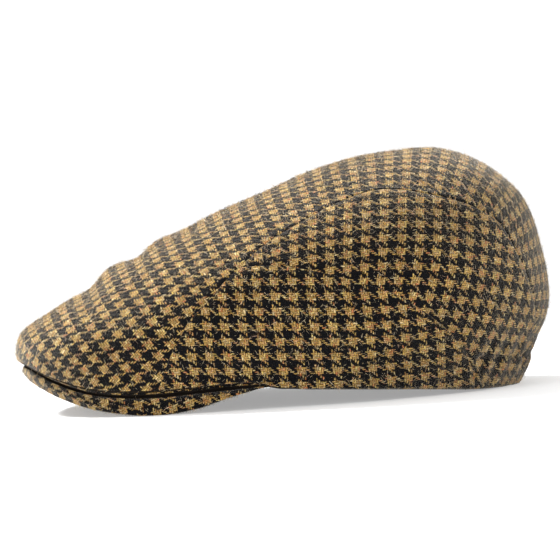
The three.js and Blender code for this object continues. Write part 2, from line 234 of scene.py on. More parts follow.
def front_edge(name, angle):
    """A column of FRONT_EDGE at an angle in degrees."""
    angles, values = FRONT_EDGE["angle"], FRONT_EDGE[name]
    slopes = np.zeros(len(angles))
    slopes[1:-1] = (values[2:] - values[:-2]) / (angles[2:] - angles[:-2])
    slopes[-1] = (values[-1] - values[-2]) / (angles[-1] - angles[-2])
    row = np.clip(np.searchsorted(angles, angle, side="right") - 1, 0, len(angles) - 2)
    span = angles[row + 1] - angles[row]
    t = np.clip((angle - angles[row]) / span, 0, 1)
    rise = (3 - 2 * t) * t * t
    bends = span * t * (1 - t) * ((1 - t) * slopes[row] - t * slopes[row + 1])
    return values[row] * (1 - rise) + values[row + 1] * rise + bends


def edge_height(angle):
    turn = np.minimum(np.abs(angle), 360 - np.abs(angle))
    first = FRONT_EDGE["angle"][-1]
    back = FRONT_EDGE["z"][-1] * (1 - ramp(turn, first, HEM_ANGLE))
    back = back - HEM_DIP[2] * ramp(turn, *HEM_DIP[:2])
    return np.where(turn <= first, front_edge("z", turn), back)


LEVEL_STEPS = np.linspace(0, LAST, 20001)
LEVEL_HEIGHTS = level("z", LEVEL_STEPS)


def chart(at_level, angle):
    """Places on the crown's chart, a disc with the lowest level as its rim and the angle from
    the front round the left side."""
    radius = 1 - np.asarray(at_level) / LAST
    return np.stack([-radius * np.cos(angle), radius * np.sin(angle)], -1)


def plain_crown(at):
    """Points of the crown, before its small forms, at places on the chart."""
    radius = np.hypot(at[..., 0], at[..., 1])
    row = np.maximum((1 - radius) * LAST, -0.5)
    angle = np.arctan2(at[..., 1], -at[..., 0])
    cosine = np.cos(angle)
    widest = level("widest", row)
    end = np.where(cosine > 0, level("front", row), level("rear", row))
    half = level("half", row) * (1 + BLUNT * radius * np.maximum(cosine, 0) ** 2)
    x = widest + np.abs(cosine) * (end - widest)
    return np.stack([x, -half * np.sin(angle), level("z", row)], -1)


def crown_normal(at, step=0.002):
    ahead, aside = (plain_crown(at + way) - plain_crown(at - way) for way in np.eye(2) * step)
    return unit(np.cross(aside, ahead))


def level_outward(at):
    return unit(crown_normal(at) * (1, 1, 0))


def slope_lift(point):
    lift = 0
    for x, height, reach, spread in zip(*SLOPE_FOLDS.values()):
        lift = lift + height * bump(point[..., 0], x, reach) * bump(point[..., 1], 0, spread)
    return lift * (1 - ramp(point[..., 0], *SLOPE_END)) * ramp(point[..., 2], *SLOPE_FOOT)


def slack(point):
    lift = 0
    for x, y, z, phase, height in zip(*SLACK.values()):
        lift = lift + height * np.sin((point @ [x, y, z]) * MM + phase)
    return lift


def edge(angle):
    """The lower edge on the chart, by the angle in degrees."""
    return chart(np.interp(edge_height(angle), LEVEL_HEIGHTS, LEVEL_STEPS), np.radians(angle))


def chart_from_side(point):
    x, z = point
    row = np.interp(z, LEVEL_HEIGHTS, LEVEL_STEPS)
    widest = level("widest", row)
    ahead = x < widest
    end = level("front" if ahead else "rear", row)
    cosine = min(abs((x - widest) / (end - widest)), 1)
    return chart(row, math.acos(cosine if ahead else -cosine))


def edge_angle(x):
    """The angle at which the edge is this far along the cap."""
    near, far = 0, 180
    while far - near > 1e-5:
        middle = (near + far) / 2
        ahead = plain_crown(edge(middle))[0] < x
        near, far = (middle, far) if ahead else (near, middle)
    return near


def seam(rows, first=(), last=()):
    """A seam on the chart, as a function of the share of its length. first and last are the
    angles where it meets the edge."""
    points = [*map(edge, first), *map(chart_from_side, rows), *map(edge, last)]
    fine = smooth(points, np.linspace(0, len(points) - 1, 200 * len(points)), points[0], points[-1])
    length = lengths(fine)
    length /= length[-1]
    return lambda share: np.stack([np.interp(share, length, fine[:, k]) for k in (0, 1)], -1)


FRONT_ANGLE, TOP_ANGLE, LOWER_ANGLE = (edge_angle(x) for x in SEAM_ENDS.values())
front_seam = seam(FRONT_SEAM, first=[FRONT_ANGLE])
top_seam = seam(TOP_SEAM, last=[TOP_ANGLE])
lower_seam = seam(LOWER_SEAM, last=[LOWER_ANGLE])


def part_of(curve, start, end):
    return lambda share: curve(start + (end - start) * share)


def patch(near, far, start, end):
    """A Coons patch on the chart between four curves, as a function of two shares."""
    zero, one = np.zeros(1), np.ones(1)
    corners = [start(zero), start(one), end(zero), end(one)]

    def area(s, t):
        u, v = s[..., None], t[..., None]
        point = near(s) * (1 - v) + far(s) * v + start(t) * (1 - u) + end(t) * u
        point = point - corners[0] * (1 - u) * (1 - v) - corners[1] * (1 - u) * v
        return point - corners[2] * u * (1 - v) - corners[3] * u * v

    return area


def top_side(share):
    front = front_seam(np.clip(share / FRONT_SHARE, 0, 1))
    top = top_seam(np.clip((share - FRONT_SHARE) / (1 - FRONT_SHARE), 0, 1))
    return np.where(share[..., None] < FRONT_SHARE, front, top)


def upper_start(share):
    share = share[..., None]
    return lower_seam(TIP) * (1 - share) + top_seam(TIP) * share


TOP_AREA = patch(
    near=top_side,
    far=lambda share: top_side(share) * (1, -1),
    start=part_of(edge, FRONT_ANGLE, -FRONT_ANGLE),
    end=part_of(edge, TOP_ANGLE, 360 - TOP_ANGLE),
)
UPPER_AREA = patch(
    near=lambda share: lower_seam(np.maximum(share, TIP)),
    far=lambda share: top_seam(np.maximum(share, TIP)),
    start=upper_start,
    end=part_of(edge, LOWER_ANGLE, TOP_ANGLE),
)
EAR_AREA = patch(
    near=part_of(edge, FRONT_ANGLE, LOWER_ANGLE),
    far=part_of(lower_seam, 0, BEND_SHARE),
    start=front_seam,
    end=part_of(lower_seam, 1, BEND_SHARE),
)


def rim_point(angle):
    """The lowest line of the peak's rim, below the crown's front edge."""
    turn = np.abs(angle)
    at = edge(turn)
    point = plain_crown(at) + level_outward(at) * front_edge("flare", turn)[..., None]
    point[..., 2] -= front_edge("rim", turn)
    point[..., 1] *= np.where(np.asarray(angle) < 0, -1, 1)
    return point


def rest_tilt():
    """The turn that sets the cap down on the peak's two wings and the back of the hem."""
    back = plain_crown(edge(180))
    rims = rim_point(np.arange(*WINGS))
    drop = (back[2] - rims[:, 2]) / (back[0] - rims[:, 0])
    angle = math.atan(drop.max())
    return angle, back[0] * math.sin(angle) - back[2] * math.cos(angle)


TILT, LIFT = rest_tilt()


def set_down(points):
    """Points of the cap, in millimetres, as it lies on the table, in metres, pressed flat where
    they touch it."""
    x, y, z = np.moveaxis(np.asarray(points, float), -1, 0)
    turned = x * math.cos(TILT) + z * math.sin(TILT) - SET_BACK
    height = z * math.cos(TILT) - x * math.sin(TILT) + LIFT - PRESSED
    return np.stack([turned, y, np.where(height < LIES_FLAT, 0, height)], -1) * MM


# ---- flat patterns ----


def flatten(points, rounds=60):
    """Lays a grid of points out flat, as near to its true lengths as it goes."""
    rows, columns = points.shape[:2]
    index = np.arange(rows * columns).reshape(rows, columns)
    squares = grid_faces(index).reshape(-1, 4)
    corners = np.concatenate([squares[:, [0, 1, 2]], squares[:, [0, 2, 3]]])
    spots = points.reshape(-1, 3)[corners]
    along, across = spots[:, 1] - spots[:, 0], spots[:, 2] - spots[:, 0]
    length = np.linalg.norm(along, axis=1)
    x = (along * across).sum(1) / length
    y = np.sqrt(np.maximum((across**2).sum(1) - x * x, 1e-9))
    true = np.zeros((len(corners), 3, 2))
    true[:, 1, 0], true[:, 2, 0], true[:, 2, 1] = length, x, y
    edges = true - np.roll(true, -1, 1)
    after = np.roll(corners, -1, 1)
    p, q = (np.roll(edges, -k, 1) for k in (1, 2))
    weight = -(p * q).sum(-1) / np.abs(p[..., 0] * q[..., 1] - p[..., 1] * q[..., 0])
    system = np.zeros((rows * columns,) * 2)
    np.add.at(system, (corners, corners), weight)
    np.add.at(system, (after, after), weight)
    np.add.at(system, (corners, after), -weight)
    np.add.at(system, (after, corners), -weight)
    system[0, 0] += 1
    inverse = np.linalg.inv(system)
    steps = [np.linalg.norm(np.diff(points, axis=k), axis=-1).mean(1 - k) for k in (0, 1)]
    sides = [np.concatenate([[0], np.cumsum(step)]) for step in steps]
    flat = np.stack(np.meshgrid(*sides, indexing="ij"), -1).reshape(-1, 2)
    x, y = edges[..., 0], edges[..., 1]
    for _ in range(rounds):
        now = flat[corners] - flat[after]
        cosine = (weight * (now * edges).sum(-1)).sum(1)
        sine = (weight * (now[..., 1] * x - now[..., 0] * y)).sum(1)
        size = np.hypot(cosine, sine)
        cosine, sine = (cosine / size)[:, None], (sine / size)[:, None]
        turned = np.stack([cosine * x - sine * y, sine * x + cosine * y], -1)
        pull = np.zeros_like(flat)
        np.add.at(pull, corners, weight[..., None] * turned)
        np.add.at(pull, after, -weight[..., None] * turned)
        flat = inverse @ pull
    return flat.reshape(rows, columns, 2)


def axes_at(first, second):
    return np.array([[math.cos(first), math.sin(first)], [-math.sin(second), math.cos(second)]])


def cut(area, shape, seen, grain, start):
    """The panel's flat pattern on the cloth, in millimetres. seen is the pair of axes that it is
    laid along, grain the angles of weft and warp to them, and start where on the cloth it is."""
    s, t = np.meshgrid(*(np.linspace(0, 1, count) for count in shape), indexing="ij")
    points = plain_crown(area(s, t))
    flat = flatten(points)
    flat -= flat.mean((0, 1))
    view = points[..., seen] - points[..., seen].mean((0, 1))
    cross = (flat[..., 0] * view[..., 1] - flat[..., 1] * view[..., 0]).sum()
    turn = math.atan2(cross, (flat * view).sum())
    weft, warp = np.radians(grain)
    return flat @ axes_at(turn, turn) @ np.linalg.inv(axes_at(weft, warp)) + start


def pattern_at(flat, s, t):
    """The flat pattern at a grid of shares."""
    rows = smooth(flat, s * (flat.shape[0] - 1))
    return np.moveaxis(smooth(np.moveaxis(rows, 1, 0), t * (flat.shape[1] - 1)), 0, 1)


# ---- meshes ----

SKINS = {}  # for the nap, of each finished piece: grids of points, normals and places on the cloth
TWEED, INSIDE, GAP_SHADE = 0, 1, 2  # materials of a piece's faces; the third is the near-black painted shade of the gap


def add_object(name, data):
    thing = bpy.data.objects.new(name, data)
    bpy.context.scene.collection.objects.link(thing)
    return thing


def make_piece(name, points, faces, places, materials, slots=None):
    """A mesh object with its place on the cloth at each corner of its faces. slots says which of
    the materials each face of a closed shell has. Loose fibres have none."""
    if not np.isfinite(points).all():
        raise RuntimeError(f"{name} has points that are nowhere")
    mesh = bpy.data.meshes.new(name)
    mesh.from_pydata(points.tolist(), [], faces)
    corners = mesh.uv_layers.new(name="cloth").data
    corners.foreach_set("uv", places.astype(np.float32).ravel())
    for cloth in materials:
        mesh.materials.append(cloth)
    mesh.polygons.foreach_set("use_smooth", np.ones(len(mesh.polygons), bool))
    if slots is not None:
        mesh.polygons.foreach_set("material_index", np.asarray(slots, np.int32))
    mesh.update()
    if slots is not None and mesh.validate():
        raise RuntimeError(f"{name} has faces that can't stand")
    piece = add_object(name, mesh)
    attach(piece, "root")
    return piece


def grid_faces(index):
    """Four-sided faces between the points of a grid."""
    return np.stack([index[:-1, :-1], index[1:, :-1], index[1:, 1:], index[:-1, 1:]], -1)


def cell_sizes(points):
    """The areas of a grid's cells."""
    one, two = np.diff(points, axis=0)[:, :-1], np.diff(points, axis=1)[:-1]
    return np.linalg.norm(np.cross(one, two), axis=-1)


def grid_normals(points):
    along, across = np.gradient(points, axis=0), np.gradient(points, axis=1)
    return unit(np.cross(along, across))


def ledge_shares(count, length, edges=(0.25, 0.6, 1.1, 1.8, 2.8)):
    """Shares along a side, evenly spaced but close together at both ends."""
    near = np.array(edges) / length
    inner = np.linspace(near[-1], 1 - near[-1], count)[1:-1]
    return np.concatenate([[0], near, inner, 1 - near[::-1], [1]])


def border_distances(points):
    """How far each point of a grid is from its first and last row and first and last column."""
    distances = []
    for axis in (0, 1):
        far = lengths(points, axis)
        distances += [far, far.take([-1], axis) - far]
    return distances


def rounded(distance, half):
    """How far an edge of this half thickness has curved in, at a distance from it."""
    share = np.clip(1 - distance / half, 0, 0.985)
    return half * (1 - np.sqrt(1 - share * share))


def build_panel(name, area, shape, size, flat, seams, materials, mirrored=False, roll=False):
    """A panel of cloth as a closed shell. seams names its borders that are sewn, and the others
    are turned edges. roll is for the top panel, with the front edge and the back of the hem."""
    s, t = ledge_shares(shape[0], size[0]), ledge_shares(shape[1], size[1])
    at = area(*np.meshgrid(s, t, indexing="ij"))
    point, normal = plain_crown(at), crown_normal(at)
    place = pattern_at(flat, s, t)
    side = -1 if mirrored else 1
    turned = point * (1, side, 1)
    sides = dict(zip(("start", "end", "near", "far"), border_distances(point)))
    sewn = np.minimum.reduce([sides[k] for k in seams.split()])
    free = np.minimum.reduce([sides[k] for k in sides if k not in seams.split()])

    x, y, z = np.moveaxis(point, -1, 0)
    behind = ramp(x, *HEM_START[roll])
    hemmed = behind * (1 - ramp(free, *np.add(HEM_DEPTH, HEM_STEP)))
    front = FRONT_ROLL[0] * (1 - behind) * (1 - ramp(free, *FRONT_ROLL[1:]))
    thickness = CLOTH + (HEM - CLOTH) * hemmed + front

    lift = slope_lift(point) + slack(turned) + front
    lift -= bpy.context.scene.flat_cap.seam_depth / MM * bump(sewn, 0, SEAM_REACH)
    lift += SEAM_SWELL[0] * bump(sewn, *SEAM_SWELL[1:])
    back = ramp(x, *BACK)
    lift -= BACK_CREASE[0] * back * bump(z, *BACK_CREASE[1:])
    sway = TUCKS["sway"] * np.sin(turned[..., 1] * TUCKS["drift"])
    tucks = TUCKS["height"] * np.sin(turned[..., 1] * TUCKS["wave"] + sway)
    lift += tucks * back * ramp(z, *TUCKS["low"]) * (1 - ramp(z, *TUCKS["high"]))
    lift -= HEM_STITCHING[0] * behind * bump(free, HEM_DEPTH, HEM_STITCHING[1])
    if roll:
        aside, along = FRONT_CREASE_ENDS
        crease = FRONT_CREASE[0] * bump(sides["start"], *FRONT_CREASE[1:])
        lift -= crease * ramp(np.abs(y), *aside) * (1 - ramp(x, *along))
    turn_in = rounded(free, FRONT_ROUND + (thickness / 2 - FRONT_ROUND) * behind)
    turn_in = np.minimum(turn_in, thickness - EDGE_LEFT)
    outer = point + normal * (lift - turn_in)[..., None]

    height, share = INSIDE_FOLLOWS
    inner = point + normal * (front + np.minimum(lift - front, height) * share)[..., None]
    inwards = unit(normal * np.stack([np.ones_like(hemmed)] * 2 + [1 - hemmed], -1))
    inner = inner - inwards * (thickness - rounded(free, thickness / 2) * behind)[..., None]

    outer, inner = set_down(outer * (1, side, 1)), set_down(inner * (1, side, 1))
    place = place * (side, 1) * MM
    index = np.arange(free.size).reshape(free.shape)
    skin = grid_faces(index).reshape(-1, 4)
    rim = np.concatenate([index[:-1, 0], index[-1, :-1], index[:0:-1, -1], index[0, :0:-1]])
    after = np.roll(rim, -1)
    walls = np.stack([after, rim, rim + free.size, after + free.size], -1)
    faces = np.concatenate([skin, skin[:, ::-1] + free.size, walls])
    if mirrored:
        faces = faces[:, ::-1]
    points = np.concatenate([outer.reshape(-1, 3), inner.reshape(-1, 3)])
    places = np.concatenate([place.reshape(-1, 2)] * 2)[faces]
    # Painted shade: the front edge's outermost band and the front's walls take the near-black gap
    # material, where the gap's shade falls.
    before, depth = (behind < 0.5).ravel(), free.ravel()
    felt_and_gap_shade, bare = (depth < GAP_SHADE_WIDTH) & before, (depth > HEM_DEPTH) | before
    first = skin[:, 0]
    slots = np.concatenate([felt_and_gap_shade[first] * GAP_SHADE, bare[first] * INSIDE, before[rim] * GAP_SHADE])
    piece = make_piece(name, points, faces.tolist(), places, materials, slots)
    inland = slice(BARE_ROWS, -BARE_ROWS)
    grids = (outer, grid_normals(outer) * side, place)
    SKINS[name] = tuple(grid[inland, inland] for grid in grids)
    return piece


def lip_point(angle, above):
    at = edge(angle)
    point = plain_crown(at) - level_outward(at) * (CLOTH + PEAK_CLEARANCE)
    point[..., 2] += above
    return point


def plate(angle, share):
    """The peak's upper face, from its inner edge, 0, to just inside the crown's edge, 1."""
    turn = np.radians(angle)
    x = OPENING["centre"] - OPENING["reach"] * np.cos(turn)
    z = OPENING["rise"] * np.cos(turn) ** 2 + PEAK_THICKNESS / 2
    inner = np.stack([x, -OPENING["half"] * np.sin(turn), z], -1)
    point = inner * (1 - share) + lip_point(angle, PLATE["lap"]) * share
    point[..., 2] += PLATE["bow"] * 4 * share * (1 - share) * np.cos(turn) ** 2
    return point


def peak_rings(angles):
    """Sections of the peak as closed rings: over the plate, down the rim and back underneath."""
    horn = ramp(np.abs(angles), *HORN)
    thickness = (PEAK_THICKNESS * (1 + (PLATE["horn"] - 1) * horn))[:, None]
    rows = PLATE["rows"]
    over = [plate(angles, row / rows) for row in range(rows + 1)]
    lip, rim = lip_point(angles, -PLATE["lip"]), rim_point(angles)
    outward = level_outward(edge(angles))
    full = (1 - horn)[:, None]
    throat = lip - (outward * GAP["inwards"] + (0, 0, GAP["down"] - PLATE["lip"])) * full
    inset = GAP["inset"] + GAP["more"] * np.cos(np.radians(angles)) ** 2
    face = lip_point(angles, -GAP["face"])
    face = face + outward * (CLOTH + PEAK_CLEARANCE - inset)[:, None]
    face = face * full + (lip * GAP_END[0] + rim * GAP_END[1]) * (1 - full)
    ring = over + [lip, throat, face, (face + rim) / 2 + outward * full * GAP["bulge"]]
    for share, up in RIM_PROFILE:
        corner = rim - outward * thickness * share
        corner[:, 2] += up * (1 - horn)
        ring.append(corner)
    for row in range(rows - 1, -1, -1):
        share = row / rows
        outwards = plate(angles, share + 0.01) - plate(angles, share - 0.01)
        around = plate(angles + 0.5, share) - plate(angles - 0.5, share)
        ring.append(over[row] - unit(np.cross(outwards, around)) * thickness)
    ring = np.stack(ring, 1)
    ring[..., 2] += (HORN_TUCK[2] * ramp(np.abs(angles), *HORN_TUCK[:2]))[:, None]
    return ring


def rounded_ring(ring):
    """Cuts the corners of closed rings until they run smooth."""
    near, far = 0.75, 0.25
    for _ in range(CUTS_OF_CORNERS):
        after = np.roll(ring, -1, 1)
        pair = np.stack([ring * near + after * far, ring * far + after * near], 2)
        ring = pair.reshape(ring.shape[0], -1, ring.shape[2])
    return ring


def build_peak(materials):
    """The peak's cloth as a closed shell."""
    angles = np.linspace(HORN[1], -HORN[1], PEAK_SECTIONS)
    ring = peak_rings(angles)
    rows = PLATE["rows"]
    # The cloth unrolled: over the plate as it looks from above and on down the rim, and the
    # underside apart.
    outward = level_outward(edge(angles))[:, None]
    down = lengths(ring, 1)[:, rows:, None]
    unrolled = ring.copy()
    unrolled[:, rows:] = ring[:, rows : rows + 1] + outward * (down - down[:, :1])
    over, under = (rounded_ring(way)[..., :2] for way in (unrolled, ring * (1, -1, 1)))

    fine = rounded_ring(ring)
    size = fine.shape[1]
    around = np.roll(fine, -1, 1) - np.roll(fine, 1, 1)
    normals = unit(np.cross(np.gradient(fine, axis=0), around))
    fine = set_down(fine + normals * (slack(fine) * 0.5)[..., None])
    index = np.arange(len(angles) * size).reshape(len(angles), size)
    faces = grid_faces(np.concatenate([index, index[:, :1]], 1))
    step = np.arange(size)
    # Painted shade: the corners of the section in the gap take the near-black gap material.
    start, end = ((rows + corner) * FINE for corner in SECTION["painted_shade"])
    slots = np.broadcast_to(((step >= start) & (step < end)) * GAP_SHADE, faces.shape[:2])
    below = (step >= (rows + SECTION["under"]) * FINE) & (step < size - 2)
    flat_over, flat_under = over.reshape(-1, 2), under.reshape(-1, 2)
    places = np.where(below[:, None, None], flat_under[faces], flat_over[faces]) * MM

    k = np.arange(size // 2 - 1)
    end = np.stack([k, k + 1, size - 2 - k, size - 1 - k], -1)
    ends = np.concatenate([end, end[:, ::-1] + index[-1, 0]])
    faces = np.concatenate([faces.reshape(-1, 4), ends])
    places = np.concatenate([places.reshape(-1, 4, 2), flat_over[ends] * MM])
    slots = np.concatenate([slots.ravel(), np.full(len(ends), TWEED)])
    points = fine.reshape(-1, 3)
    piece = make_piece("peak_cloth", points, faces.tolist(), places, materials, slots)
    band = slice(*((rows + corner) * FINE for corner in SECTION["nap"]))
    SKINS["peak_cloth"] = (fine[:, band], normals[:, band], over[:, band] * MM)
    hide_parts("peak")
    return piece


def build_nap(name, skin, count, seed, size, wool):
    """Loose woollen fibres, each a narrow blade. size is their usual length and width."""
    chance = np.random.default_rng(seed)
    points, normals, places = skin
    cell = cell_sizes(points)
    facing = (normals[:-1, :-1, 2] + normals[1:, 1:, 2]) / 2
    # Painted highlight: upward faces get more fibres, and so more pale hairs, to pale the top.
    odds = cell * (1 + TOP_LIGHT_NAP[2] * ramp(facing, *TOP_LIGHT_NAP[:2]))
    odds = (odds / odds.sum()).ravel()
    row, column = np.unravel_index(chance.choice(odds.size, count, p=odds), cell.shape)
    s, t = chance.random(count)[:, None], chance.random(count)[:, None]

    def blend(grid):
        near = grid[row, column] * (1 - s) + grid[row + 1, column] * s
        far = grid[row, column + 1] * (1 - s) + grid[row + 1, column + 1] * s
        return near * (1 - t) + far * t

    root, up, place = blend(points), unit(blend(normals)), blend(places)
    aside = unit(np.cross(up, chance.normal(size=(count, 3))))
    length = size[0] * np.exp(chance.normal(0, FIBRE["varies"], count))[:, None]
    stand = chance.uniform(*FIBRE["stands"], count)[:, None]
    way = unit(aside + up * stand)
    bend = unit(np.cross(way, up)) * chance.normal(0, FIBRE["bends"], count)[:, None]
    middle = root + way * length * BLADE["middle"] + bend * length * BLADE["bow"]
    tip = root + way * length * BLADE["tip"] - up * length * stand * BLADE["droop"]
    tip = tip + bend * length * BLADE["curl"]
    width = unit(np.cross(way, chance.normal(size=(count, 3)))) * size[1] / 2
    narrower = width * BLADE["taper"]
    root = root - up * (ROOTED * MM)
    ribs = np.stack([root - width, root + width, middle + narrower, middle - narrower, tip], 1)
    ribs[..., 2] = np.maximum(ribs[..., 2], CLEAR * MM)
    first = np.arange(count)[:, None] * ribs.shape[1]
    faces = (first + [0, 1, 2, 3]).tolist() + (first + [3, 2, 4]).tolist()
    corners = np.concatenate([np.repeat(place, 4, axis=0), np.repeat(place, 3, axis=0)])
    return make_piece(name, ribs.reshape(-1, 3), faces, corners, [wool])


# ---- materials ----


def signs(operation):
    """The methods for a sign with a socket before it, and with one after it."""
    return (
        lambda term, other: term.tree.maths(operation, term, other),
        lambda term, other: term.tree.maths(operation, other, term),
    )


class Term:
    """A socket of a material's nodes, written with the usual signs."""

    def __init__(self, tree, socket):
        self.tree, self.socket = tree, socket

    __add__, __radd__ = signs("ADD")
    __sub__, __rsub__ = signs("SUBTRACT")
    __mul__, __rmul__ = signs("MULTIPLY")
    __truediv__, __rtruediv__ = signs("DIVIDE")
    __pow__, __rpow__ = signs("POWER")
    __mod__, __rmod__ = signs("FLOORED_MODULO")
    __lt__, __gt__ = signs("LESS_THAN")

    def floor(self):
        return self.tree.maths("FLOOR", self)

    def fraction(self):
        return self.tree.maths("FRACT", self)

    def clamp(self):
        return self.tree.maths("MAXIMUM", self.tree.maths("MINIMUM", self, 1), 0)


class Material:
    """A material's node tree, filled node by node."""

    def __init__(self, name):
        self.material = bpy.data.materials.new(name)
        self.material.use_nodes = True
        self.nodes = self.material.node_tree.nodes
        self.links = self.material.node_tree.links
        self.shader = self.nodes["Principled BSDF"]

    def add(self, kind, settings=None, values=None, output=0):
        node = self.nodes.new(kind)
        for key, value in (settings or {}).items():
            if key == "stops":
                stops = node.color_ramp.elements
                while len(stops) < len(value):
                    stops.new(1)
                for stop, (position, shade) in zip(stops, value):
                    stop.position, stop.color = position, colour(shade)
            else:
                setattr(node, key, value)
        for key, value in (values or {}).items():
            self.feed(node.inputs[key], value)
        return Term(self, node.outputs[output])

    def maths(self, operation, *values):
        return self.add("ShaderNodeMath", {"operation": operation}, dict(enumerate(values)))

    def feed(self, socket, value):
        if isinstance(value, Term):
            self.links.new(value.socket, socket)
        else:
            socket.default_value = value

    def mix(self, share, low, high):
        """Between two values."""
        return self.add("ShaderNodeMix", {"data_type": "FLOAT"}, {0: share, 2: low, 3: high})

    def tint(self, share, low, high, way="MIX"):
        """Between two colours."""
        settings = {"data_type": "RGBA", "blend_type": way}
        return self.add("ShaderNodeMix", settings, {0: share, 6: low, 7: high}, 2)

    def noise(self, vector, scale, detail=2.0, rough=0.5, output=0):
        values = {"Vector": vector, "Scale": scale, "Detail": detail, "Roughness": rough}
        return self.add("ShaderNodeTexNoise", None, values, output)

    def relief(self, height, strength, distance):
        """A bump for the shader's Normal."""
        values = {"Height": height, "Strength": strength, "Distance": distance}
        return self.add("ShaderNodeBump", None, values)

    def vector(self, *values):
        return self.add("ShaderNodeCombineXYZ", None, dict(enumerate(values)))

    def parts(self, vector):
        return [self.add("ShaderNodeSeparateXYZ", None, {0: vector}, k) for k in (0, 1)]

    def finish(self, **values):
        for key, value in values.items():
            self.feed(self.shader.inputs[key.replace("_", " ")], value)
        return self.material


def colour(value, share=1.0):
    """A setting's colour, or one this share as light, for a socket."""
    return (*(part * share for part in value), 1.0)


OVER = 2  # threads that each thread of the twill passes over, and then under
REPEAT = 8  # threads in one repeat of the check, half of them dark
WEFT_FIRST = 517  # sets the numbers of the weft's threads apart from the warp's
DRIFT = 1.1  # slow wandering of the threads, in threads
# Where the light yarn's wools lie in its blend.
BLEND = {0.06: "rust", 0.24: "tan", 0.42: "mustard", 0.58: "tan", 0.74: "yellow", 0.92: "cream"}


def weave(make):
    """The houndstooth's threads: which one shows, whether it is dark, and where on it that is."""
    cap = bpy.context.scene.flat_cap
    place = make.add("ShaderNodeUVMap", {"uv_map": "cloth"})
    stray = make.parts(make.noise(place, 420.0, 4.0, 0.75, 1))
    drift = make.parts(make.noise(place, 24.0, 1.0, 0.5, 1))
    widths = cap.check_width, cap.check_height
    across, down = (
        at / (width / REPEAT) + (near - 0.5) * cap.raggedness + (far - 0.5) * DRIFT
        for at, width, near, far in zip(make.parts(place), widths, stray, drift)
    )
    i, j = across.floor(), down.floor()
    step = (i + j) % (OVER * 2)
    warp_up = step < OVER
    warp_dark, weft_dark = i % REPEAT < REPEAT / 2, j % REPEAT < REPEAT / 2
    number = make.mix(warp_up, j + WEFT_FIRST, i)
    length = make.mix(warp_up, across, down)
    side = make.mix(warp_up, down.fraction(), across.fraction())
    run = make.mix(warp_up, step - OVER + across.fraction(), step + down.fraction()) / OVER
    along = make.vector(side * 2.6 + number * 5.7, length * 0.7, number * 1.9)
    fibre = make.noise(along, 2.1, 3.0, 0.7)
    height = (1 - (side * 2 - 1) ** 2) * (1 - (run * 2 - 1) ** 4 * 0.6)
    # Among dark threads a light one shows only where it stands proud of their hairs.
    proud = ((height * 0.8 + fibre * 2.2 - 1.53) * 4).clamp()
    buried = (warp_dark - weft_dark) ** 2 * (1 - proud)
    dark = 1 - (1 - make.mix(warp_up, weft_dark, warp_dark)) * (1 - buried)
    return dict(
        place=place, dark=dark, number=number, length=length, side=side, fibre=fibre,
        height=height, stitch=i + j - step,
    )


def yarns(make):
    """The woven threads with their heathered colours: light ones of several dyed wools, a new
    one at every stitch, and dark ones. tone is the whole cloth's, and light the light yarn's."""
    cap, threads = bpy.context.scene.flat_cap, weave(make)
    number, length, side, fibre = (threads[k] for k in ("number", "length", "side", "fibre"))
    own, lustre = (
        make.add("ShaderNodeTexWhiteNoise", None, {0: make.vector(number, threads["stitch"], k)})
        for k in (0, 1)
    )
    along = make.vector(number * 7.31 + side * 0.9, length * 0.5, number * 3.17)
    blend = own * 0.7 + (make.noise(along, 1.0, 3.0, 0.8) - 0.5) * 1.5 + 0.15
    stops = [(position, getattr(cap, wool)) for position, wool in BLEND.items()]
    light = make.add("ShaderNodeValToRGB", {"stops": stops}, {0: blend})
    light = make.tint(1.0, light, make.mix(lustre, 0.4, 1.12), "MULTIPLY")
    light = make.tint(((0.6 - fibre) * 2.4).clamp(), light, colour(cap.tan, 0.4))
    along = make.vector(side * 2.2 + number * 9.1, length * 1.1, number * 4.3)
    fleck = make.noise(along, 1.4, 2.0, 0.6)
    light = make.tint(((fleck - 0.55) * 8).clamp() * 0.85, light, colour(cap.cream))
    light = make.tint(((0.42 - fleck) * 8).clamp() * 0.75, light, colour(cap.rust))
    dark = make.tint(((fibre - 0.5) * 3).clamp() ** 2, colour(cap.dark), colour(cap.grey))
    dark = make.tint(((fleck - 0.66) * 8).clamp() * 0.3, dark, colour(cap.tan))
    return dict(threads, light=light, tone=make.tint(threads["dark"], light, dark))


def tweed_material(make):
    threads = yarns(make)
    height, fibre = threads["height"], threads["fibre"]
    # Painted shade: the grooves between the threads darken the cloth towards a dim brown.
    painted_furrow_shade = ((1.05 - height) * 1.1).clamp() ** 1.6
    tone = make.tint(painted_furrow_shade, threads["tone"], (0.1, 0.075, 0.06, 1), "MULTIPLY")
    felt_and_gap_shade = make.noise(threads["place"], 3200.0, 3.0, 0.7)
    relief = height * (1 - threads["dark"] * 0.3) + fibre * 0.8 + felt_and_gap_shade * 0.4
    return make.finish(
        Base_Color=tone, Roughness=0.95, Normal=make.relief(relief, 0.85, 0.0004),
        Sheen_Weight=0.5, Sheen_Roughness=0.3, Sheen_Tint=(1.0, 0.94, 0.84, 1),
        Specular_IOR_Level=0.05,
    )


def nap_material(make):
    threads = yarns(make)
    roughness = make.mix(threads["fibre"], 0.7, 0.9)
    return make.finish(Base_Color=threads["tone"], Roughness=roughness, Specular_IOR_Level=0.2)


def stray_material(make):
    """Pale hairs that have worked loose from the light yarn."""
    threads = yarns(make)
    tone = make.tint(0.45, threads["light"], colour(bpy.context.scene.flat_cap.hair))
    roughness = make.mix(threads["fibre"], 0.6, 0.8)
    return make.finish(Base_Color=tone, Roughness=roughness, Specular_IOR_Level=0.3)


